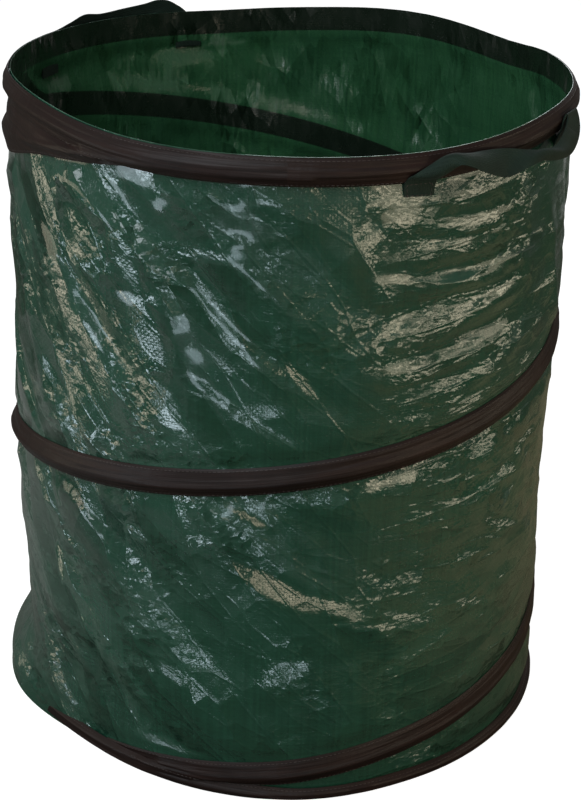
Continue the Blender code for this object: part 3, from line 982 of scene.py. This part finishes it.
loose = [smooth((np.abs(from_front(ring - foot)) - held_turn) / held_turn) for foot in handle_feet]
rim_casing = add_tape(
    "rim_tape",
    ring,
    *rim_edges(ring),
    rim_wires(ring),
    rim_strips,
    True,
    held_looseness + (1 - held_looseness) * np.minimum.reduce(loose),
    rim_lap,
    around(ring, ((-125, 1), (-115, 0), (-20, 0), (-10, 1))),
)
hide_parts("rim_casing")
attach(rim_casing, "rim")

# Handles: dark green webbing 30 mm wide, sewn flat on the wall below the rim casing at both ends.
# The front strap climbs over the casing, leans to the right, flops outwards and comes back over
# its right end in a loop. The rear strap stands a little above the rim.
webbing_width = 0.030
webbing_thickness = 0.0013
strap_rows = 220
strap_across = 10
strap_bow = 1.1
# Each row: one edge's azimuth in degrees, stand-off and drop in millimetres, then the other edge's
front_rows = (
    (21.8, 1.2, 39.5, 27.8, 1.2, 40.5),
    (21.6, 1.4, 29.0, 28.1, 1.4, 29.5),
    (22.0, 4.0, 22.6, 28.1, 5.0, 24.4),
    (22.6, 8.2, 18.3, 28.2, 11.0, 20.4),
    (24.2, 9.2, 14.0, 28.7, 16.0, 16.2),
    (26.0, 9.4, 9.4, 29.1, 21.0, 11.6),
    (27.7, 9.4, 5.2, 29.5, 25.5, 7.6),
    (29.8, 9.6, 3.7, 29.8, 29.0, 6.0),
    (31.9, 9.6, 4.0, 30.5, 31.0, 6.2),
    (34.1, 9.8, 4.1, 31.9, 31.0, 9.1),
    (36.9, 10.0, 3.9, 34.0, 30.0, 14.6),
    (39.9, 10.5, 4.5, 36.9, 27.5, 21.2),
    (42.9, 12.0, 6.0, 39.8, 27.0, 26.1),
    (45.9, 14.5, 9.2, 42.1, 29.0, 24.5),
    (48.7, 17.5, 12.3, 44.8, 31.0, 20.4),
    (51.0, 19.5, 14.6, 48.4, 30.0, 19.0),
    (53.2, 20.8, 15.6, 52.6, 27.0, 24.0),
    (55.4, 20.5, 14.5, 57.0, 24.0, 28.5),
    (57.8, 19.0, 11.5, 61.4, 23.0, 29.4),
    (60.7, 16.0, 7.4, 65.3, 21.0, 23.3),
    (63.0, 13.0, 3.7, 68.4, 17.6, 16.0),
    (64.2, 11.2, 0.6, 70.3, 13.6, 8.0),
    (64.0, 9.9, -2.4, 70.2, 10.4, -0.4),
    (63.3, 8.8, 3.0, 69.6, 8.8, 4.0),
    (62.9, 8.0, 11.0, 69.2, 8.0, 11.0),
    (62.9, 4.8, 19.5, 69.1, 4.8, 19.5),
    (62.9, 1.4, 29.5, 69.1, 1.4, 29.5),
    (62.9, 1.2, 40.0, 69.1, 1.2, 40.0),
)
rear_rows = (
    (22.0, 1.2, 42.0, 28.1, 1.2, 42.0),
    (21.9, 1.4, 31.0, 28.1, 1.4, 31.0),
    (22.4, 5.0, 23.0, 28.6, 5.0, 24.0),
    (23.6, 8.8, 14.0, 29.8, 8.8, 16.0),
    (25.2, 9.0, 3.0, 31.2, 9.2, 8.0),
    (27.2, 9.0, -4.5, 33.0, 10.0, 4.0),
    (29.4, 9.4, -10.2, 34.4, 11.4, 8.0),
    (32.0, 9.8, -11.4, 36.0, 12.8, 14.0),
    (35.0, 10.5, -8.6, 38.2, 14.0, 19.5),
    (40.0, 12.0, -6.2, 41.4, 16.0, 23.0),
    (46.0, 12.5, -4.6, 46.4, 17.0, 25.0),
    (51.0, 11.5, -7.6, 50.6, 16.0, 22.0),
    (55.5, 11.0, -3.0, 54.6, 14.5, 26.5),
    (60.5, 10.4, 0.5, 58.6, 12.8, 29.0),
    (66.0, 9.8, 0.5, 62.6, 11.4, 27.0),
    (70.4, 9.2, 2.5, 65.4, 10.0, 21.0),
    (70.6, 8.8, 12.0, 64.8, 8.8, 16.0),
    (69.9, 4.8, 23.5, 63.8, 4.8, 24.0),
    (69.2, 1.4, 31.5, 63.0, 1.4, 31.5),
    (69.1, 1.2, 42.0, 62.9, 1.2, 42.0),
)

webbing = Finish("handle_webbing", 0.70, Specular_IOR_Level=0.14, Sheen_Weight=0.02)
lay = webbing.lay()
across, along = webbing.part(lay, "X"), webbing.part(lay, "Y")
slant = across + along * 0.5
yarn = slant.sum("PINGPONG", slant, 0.0011) * 0.20 + across.sum("PINGPONG", across, 0.0008) * 0.25
tone = (webbing.noise(lay, 60.0, 3.0) * 1.1 + yarn * 300.0 - 0.15).clamped()
webbing_dark, webbing_light = (0.0050, 0.0110, 0.0080, 1), (0.0130, 0.0270, 0.0185, 1)
colour = webbing.mix(tone, webbing_dark, webbing_light)
webbing.feed(webbing.shader, {"Base Color": colour, "Normal": webbing.bump(yarn)})


def smooth_rows(table, count):
    """Rows spread along curves that pass through each row of the table."""
    table = np.array(table)
    table = np.concatenate([table[:1], table, table[-1:]])
    last = len(table) - 3
    place = np.linspace(0, last, count)
    k = np.minimum(place.astype(int), last - 1)
    t = (place - k)[:, None]
    a, b, c, d = table[k], table[k + 1], table[k + 2], table[k + 3]
    leave, arrive = (c - a) / 2, (d - b) / 2
    bend, twist = 3 * (c - b) - 2 * leave - arrive, 2 * (b - c) + leave + arrive
    return b + t * (leave + t * (bend + t * twist))


def unit(vectors):
    return vectors / np.maximum(np.linalg.norm(vectors, axis=-1, keepdims=True), 1e-9)


def strap_surface(table, turned):
    """Points across and along a strap, and its normals. It cups where its edges come together."""
    rows = smooth_rows(table, strap_rows)
    places, stand_offs, drops = rows[:, (0, 3)], rows[:, (1, 4)], rows[:, (2, 5)]
    ends = on_round(np.radians(places), bag_height - drops / 1000, stand_offs / 1000)
    share = np.linspace(0, 1, strap_across + 1)[None, :, None]
    chord = ends[:, 1:] - ends[:, :1]
    points = ends[:, :1] + chord * share
    bow = unit(np.cross(chord, np.gradient(points, axis=0)))
    bow *= np.sign(np.sum(bow * points * (1, 1, 0), -1, keepdims=True))
    spare = np.maximum(webbing_width**2 - np.sum(chord**2, -1, keepdims=True), 0)
    points = points + bow * np.sqrt(spare) * strap_bow * share * (1 - share)
    if turned:
        points = points * (-1, -1, 1)
    return points, unit(np.cross(np.gradient(points, axis=0), np.gradient(points, axis=1)))


def add_strap(name, surface, first, last, nodes):
    """A stretch of strap between two rows, with its thickness and sharp sides."""
    points, normals = surface
    steps = np.linalg.norm(np.diff(points.mean(1), axis=0), axis=1)
    along = np.concatenate([[0], np.cumsum(steps)])[first : last + 1]
    across = np.linspace(0, webbing_width, strap_across + 1)
    lays = np.stack(np.broadcast_arrays(across[None, :], along[:, None]), -1)
    half = normals * webbing_thickness / 2
    front, back = (points + half)[first : last + 1], (points - half)[first : last + 1]
    parts = [
        (front, lays),
        (back[:, ::-1], lays[:, ::-1]),
        (np.stack([back[:, 0], front[:, 0]], 1), lays[:, :2]),
        (np.stack([front[:, -1], back[:, -1]], 1), lays[:, -2:]),
    ]
    if first == 0:
        parts.append((np.stack([back[0], front[0]]), lays[:2]))
    if last == strap_rows - 1:
        parts.append((np.stack([front[-1], back[-1]]), lays[-2:]))
    bm = bmesh.new()
    for part, lay in parts:
        mesh = sheet_mesh(name, part, lay)
        bm.from_mesh(mesh)
        bpy.data.meshes.remove(mesh)
    mesh = bpy.data.meshes.new(name)
    bm.to_mesh(mesh)
    bm.free()
    piece = put(name, mesh, webbing)
    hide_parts(*nodes)
    return piece


def hinge_on(piece, surface, start, end):
    """Works out a line across the strap between two rows, which nothing then uses, and bakes the strap
    end's placement into its mesh.
    """
    points = surface[0]
    low, high = points[start].mean(0), points[end].mean(0)
    run = (high - low) / np.linalg.norm(high - low)
    reach = min((points[end] - low) @ run)
    tuple(low + run * reach)
    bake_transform(piece)


def add_handle(name, table, turned, marks):
    """A strap: a sewn patch, an end that turns over, the belt, and the same again at the right. The
    marks are rows of its table: where the left patch ends, where its turn starts and ends, and the
    same three in reverse at the right."""
    surface = strap_surface(table, turned)
    rows = [round(k / (len(table) - 1) * (strap_rows - 1)) for k in marks]
    left_tab, right_tab = (name + "_tab_left",), (name + "_tab_right",)
    for patch in (
        add_strap(name + "_patch_left", surface, 0, rows[0], left_tab),
        add_strap(name + "_patch_right", surface, rows[5], strap_rows - 1, right_tab),
    ):
        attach(patch, "rim")
        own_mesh(patch)
    left_end = add_strap(name + "_end_left", surface, rows[0], rows[2], left_tab)
    hinge_on(left_end, surface, rows[1], rows[2])
    belt = add_strap(name + "_belt", surface, rows[2], rows[3], (name + "_strap",))
    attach(belt, name)
    right_end = add_strap(name + "_end_right", surface, rows[3], rows[5], right_tab)
    hinge_on(right_end, surface, rows[4], rows[3])
    return surface


front_surface = add_handle("front_handle", front_rows, False, (1.4, 4.5, 7.5, 18, 23, 25.6))
rear_surface = add_handle("rear_handle", rear_rows, True, (1.4, 3.5, 6.5, 13.5, 16, 17.6))

# Thread: dark brown, in rows of stitches 4.5 mm long along the casings, round the patches and
# down both edges of the side seam.
stitch_pitch = 0.0045
stitch_length = 0.0036
thread_thickness = 0.0007
seam_inset = 0.0020
box_rows = 9
thread_dark, thread_light = (0.016, 0.010, 0.009, 1), (0.050, 0.034, 0.030, 1)
thread = Finish("thread", 0.55)
twist = thread.noise(thread.place(), 900.0)
thread.feed(thread.shader, {"Base Color": thread.mix(twist, thread_dark, thread_light)})


def stitch_tree():
    """Geometry nodes that lay a row of stitches along each line of a mesh of edges."""
    tree = bpy.data.node_groups.new("stitches", "GeometryNodeTree")
    face = tree.interface
    face.new_socket("Seams", in_out="INPUT", socket_type="NodeSocketGeometry")
    for name in ("Pitch", "Length", "Thickness"):
        face.new_socket(name, in_out="INPUT", socket_type="NodeSocketFloat")
    face.new_socket("Thread", in_out="INPUT", socket_type="NodeSocketMaterial")
    face.new_socket("Stitches", in_out="OUTPUT", socket_type="NodeSocketGeometry")

    def node(kind, inputs, **settings):
        made = tree.nodes.new(kind)
        for name, value in settings.items():
            setattr(made, name, value)
        for name, value in inputs.items():
            if isinstance(value, bpy.types.NodeSocket):
                tree.links.new(value, made.inputs[name])
            else:
                made.inputs[name].default_value = value
        return made.outputs

    given = node("NodeGroupInput", {})
    curve = node("GeometryNodeMeshToCurve", {"Mesh": given["Seams"]})[0]
    spacing = {"Curve": curve, "Length": given["Pitch"]}
    spaced = node("GeometryNodeResampleCurve", spacing, mode="LENGTH")[0]
    along = node("GeometryNodeInputTangent", {})[0]
    turned = node("FunctionNodeAlignRotationToVector", {"Vector": along}, axis="Z")[0]
    bead = node("GeometryNodeMeshUVSphere", {"Segments": 6, "Rings": 4, "Radius": 0.5})[0]
    sides = {0: given["Thickness"], 1: given["Thickness"], 2: given["Length"]}
    size = node("ShaderNodeCombineXYZ", sides)[0]
    stitch = node("GeometryNodeTransform", {"Geometry": bead, "Scale": size})[0]
    vary = node("FunctionNodeRandomValue", {2: 0.82, 3: 1.08, "Seed": 3}, data_type="FLOAT")[1]
    placing = {"Points": spaced, "Instance": stitch, "Rotation": turned, "Scale": vary}
    laid = node("GeometryNodeInstanceOnPoints", placing)[0]
    real = node("GeometryNodeRealizeInstances", {"Geometry": laid})[0]
    sewn = node("GeometryNodeSetMaterial", {"Geometry": real, "Material": given["Thread"]})[0]
    node("NodeGroupOutput", {"Stitches": sewn})
    return tree


stitches = stitch_tree()


def sew(name, seams, body):
    """Stitches along seams, each a row of points, as a plain mesh that rides on a body."""
    mesh = bpy.data.meshes.new(name)
    points, edges = [], []
    for seam in seams:
        edges += [(len(points) + k, len(points) + k + 1) for k in range(len(seam) - 1)]
        points += [tuple(point) for point in seam]
    mesh.from_pydata(points, edges, [])
    piece = put(name, mesh, thread)
    rows = piece.modifiers.new("Stitches", "NODES")
    rows.node_group = stitches
    sizes = {"Pitch": stitch_pitch, "Length": stitch_length, "Thickness": thread_thickness}
    for socket in stitches.interface.items_tree:
        if socket.name in sizes:
            rows[socket.identifier] = sizes[socket.name]
        if socket.name == "Thread":
            rows[socket.identifier] = thread.material
    sewn = bpy.data.meshes.new_from_object(piece.evaluated_get(bpy.context.evaluated_depsgraph_get()))
    piece.modifiers.clear()
    piece.data = sewn
    sewn.shade_smooth()
    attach(piece, body)
    return piece


def tape_seams(azimuths, tops, bottoms, wires, lap):
    """The stitched lines along the upper and the lower edge of a tape."""
    seams = []
    for heights in (tops - seam_inset, bottoms + seam_inset):
        lift = over_wires(heights, tops, bottoms, wires)
        seams.append(on_round(azimuths, heights, lap + lift + tape_thickness))
    return seams


seam_ring = np.linspace(0, math.tau, 361)
sew("rim_stitches", tape_seams(seam_ring, *rim_edges(seam_ring), rim_wires(seam_ring), rim_lap), "rim")
foot_wires = wires_under(seam_ring, foot_hoop_height)
foot_seams = tape_seams(seam_ring, foot_top(seam_ring), foot_casing_bottom, foot_wires, tape_lap)
sew("foot_stitches", foot_seams[:1], "base")
wide_enough = spiral_edges[0] - spiral_edges[1] > 4 * seam_inset
open_angles, open_edges = angles[wide_enough], [edge[wide_enough] for edge in spiral_edges]
spiral_seams = tape_seams(-open_angles, *open_edges, [spiral_height(open_angles)], spiral_lap)
spiral_stitches = sew("spiral_stitches", spiral_seams, "base")
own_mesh(spiral_stitches)
side_stitches = sew("side_stitches", [wall_points[4:-3, column] for column in (1, 3)], "base")
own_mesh(side_stitches)


def box_seam(surface, first, last):
    """A stitched box on a patch, inside its edges."""
    points, normals = surface
    outwards = normals * np.sign(np.sum(normals * points * (1, 1, 0), -1, keepdims=True))
    rows = (points + outwards * webbing_thickness / 2)[first : last + 1]
    return np.concatenate([rows[:, 1], rows[-1, 1:-1], rows[::-1, -2], rows[0, -2:0:-1]])


for name, surface in (("front_handle", front_surface), ("rear_handle", rear_surface)):
    boxes = [box_seam(surface, 1, box_rows), box_seam(surface, strap_rows - 1 - box_rows, strap_rows - 2)]
    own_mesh(sew(name + "_stitches", boxes, "rim"))

# Studio: a white floor and room, a cool window light from above and the left, one from behind, and
# low warm and cool lights that the glossy sheet mirrors. In the sheet's mirror image the floor's
# colour holds painted shade near the bag and painted pools of light beside it and further away,
# warm to the right.
floor_size = 14
floor_painted_shade, floor_painted_light, floor_painted_warm_light = (0.085, 0.080, 0.066, 1), (0.86, 0.86, 0.84, 1), (0.42, 0.36, 0.23, 1)
floor_finish = Finish("pale_floor", 1.0, Specular_IOR_Level=0.0)
place = floor_finish.place()
across, away = floor_finish.part(place, "X"), floor_finish.part(place, "Y")
distance = across * across + away * away
# Painted pools of light on the floor, paler far off and to the left and warm to the right, and painted
# shade near the bag.
aside = 1.0 - (across * across).ramp(0.4, 2.6) * 0.85
beside = 1.0 - distance.ramp(0.55, 1.5)
painted_light_far = distance.ramp(2.2, 5.0) * aside * 0.85
painted_light_left = (0.0 - across).ramp(0.15, 0.60) * beside * 0.34
painted_warm_light_right = across.ramp(0.15, 0.60) * beside * 0.75
floor_painted_light_colour = floor_finish.mix((painted_light_far + painted_light_left).clamped(), floor_painted_shade, floor_painted_light)
floor_painted_light_colour = floor_finish.mix(painted_warm_light_right, floor_painted_light_colour, floor_painted_warm_light)
floor_finish.feed(floor_finish.shader, {"Base Color": floor_painted_light_colour})
seen = floor_finish.add("ShaderNodeLightPath", {}, {}, "Is Camera Ray")
shade = floor_finish.add("ShaderNodeBsdfDiffuse", {}, {"Color": (0.30, 0.30, 0.30, 1)})
glow = floor_finish.add("ShaderNodeEmission", {}, {"Color": (1, 1, 1, 1), "Strength": 0.95})
pale = floor_finish.add("ShaderNodeAddShader", {}, {0: shade, 1: glow})
dark = Value(floor_finish, floor_finish.shader.outputs[0])
chosen = floor_finish.add("ShaderNodeMixShader", {}, {0: seen, 1: dark, 2: pale})
floor_finish.feed(floor_finish.tree.nodes["Material Output"], {"Surface": chosen})
bpy.ops.mesh.primitive_plane_add(size=floor_size)
floor = bpy.context.object
floor.name = "floor"
floor.data.materials.append(floor_finish.material)

world = bpy.data.worlds.new("room")
bpy.context.scene.world = world
world.use_nodes = True
room = world.node_tree
room.nodes.clear()
light_path = room.nodes.new("ShaderNodeLightPath")
joined = room.nodes.new("ShaderNodeMixShader")
room.links.new(light_path.outputs["Is Camera Ray"], joined.inputs[0])
for slot, colour, strength in ((1, (1.0, 0.98, 0.92, 1), 0.22), (2, (1, 1, 1, 1), 1.0)):
    sky = room.nodes.new("ShaderNodeBackground")
    sky.inputs["Color"].default_value = colour
    sky.inputs["Strength"].default_value = strength
    room.links.new(sky.outputs[0], joined.inputs[slot])
room_output = room.nodes.new("ShaderNodeOutputWorld")
room.links.new(joined.outputs[0], room_output.inputs["Surface"])

# Each lamp: its name, place, what it points at, width and height, watts and colour
lamps = (
    ("window_above", (-0.9, -1.3, 2.4), (0, 0, 0.4), (1.6, 1.2), 44, (0.86, 0.94, 1.0)),
    ("low_right", (1.32, -0.30, 0.50), (0, 0, 0.40), (0.9, 0.20), 3.4, (1.0, 0.88, 0.64)),
    ("low_front_right", (0.95, -1.20, 0.45), (0, 0, 0.30), (0.5, 0.28), 3.4, (1.0, 0.86, 0.62)),
    ("high_right", (1.5, -1.3, 0.95), (0, 0, 0.60), (0.4, 0.3), 1.6, (1.0, 0.86, 0.62)),
    ("low_left", (-1.35, -0.05, 0.40), (0, 0, 0.40), (0.45, 0.25), 2.0, (1.0, 0.88, 0.68)),
    ("low_front_left", (-1.25, -0.75, 0.36), (0, 0, 0.40), (0.35, 0.22), 3.8, (0.74, 0.90, 1.0)),
    ("low_front", (-0.45, -2.1, 0.22), (0, 0, 0.35), (0.45, 0.22), 4.4, (0.72, 0.90, 1.0)),
    ("high_front", (0.15, -2.4, 1.75), (0, 0.2, 0.55), (0.7, 0.35), 3.0, (1.0, 0.92, 0.74)),
    ("rear_window", (0.5, 2.3, 1.5), (0, 0, 0.35), (1.2, 0.9), 12, (0.90, 0.96, 1.0)),
)
for name, place, target, size, power, colour in lamps:
    lamp = bpy.data.lights.new(name, "AREA")
    lamp.shape = "RECTANGLE"
    lamp.size, lamp.size_y = size
    lamp.energy = power
    lamp.color = colour
    holder = bpy.data.objects.new(name, lamp)
    bpy.context.scene.collection.objects.link(holder)
    holder.location = place
    holder.rotation_euler = (Vector(target) - Vector(place)).to_track_quat("-Z", "Y").to_euler()
    holder.visible_camera = False

# Camera: a long lens about two metres from the bag, in front of it and above its rim, and held a
# little askew, as the photograph shows it.
camera_data = bpy.data.cameras.new("camera")
camera_data.lens = 90
camera_data.sensor_width = 36
camera = bpy.data.objects.new("camera", camera_data)
bpy.context.scene.collection.objects.link(camera)
camera_place = (0.0092, -1.9597, 1.1964)
camera_pitch = 0.425
camera_roll = 0.032
forward = Vector((0, math.cos(camera_pitch), -math.sin(camera_pitch)))
level_up = Vector((0, math.sin(camera_pitch), math.cos(camera_pitch)))
level_right = Vector((1, 0, 0))
right_side = level_right * math.cos(camera_roll) + level_up * math.sin(camera_roll)
upwards = level_up * math.cos(camera_roll) - level_right * math.sin(camera_roll)
turn = Matrix((right_side, upwards, -forward)).transposed().to_4x4()
camera.matrix_world = Matrix.Translation(camera_place) @ turn
bpy.context.scene.camera = camera
bpy.context.scene.view_settings.view_transform = "Standard"
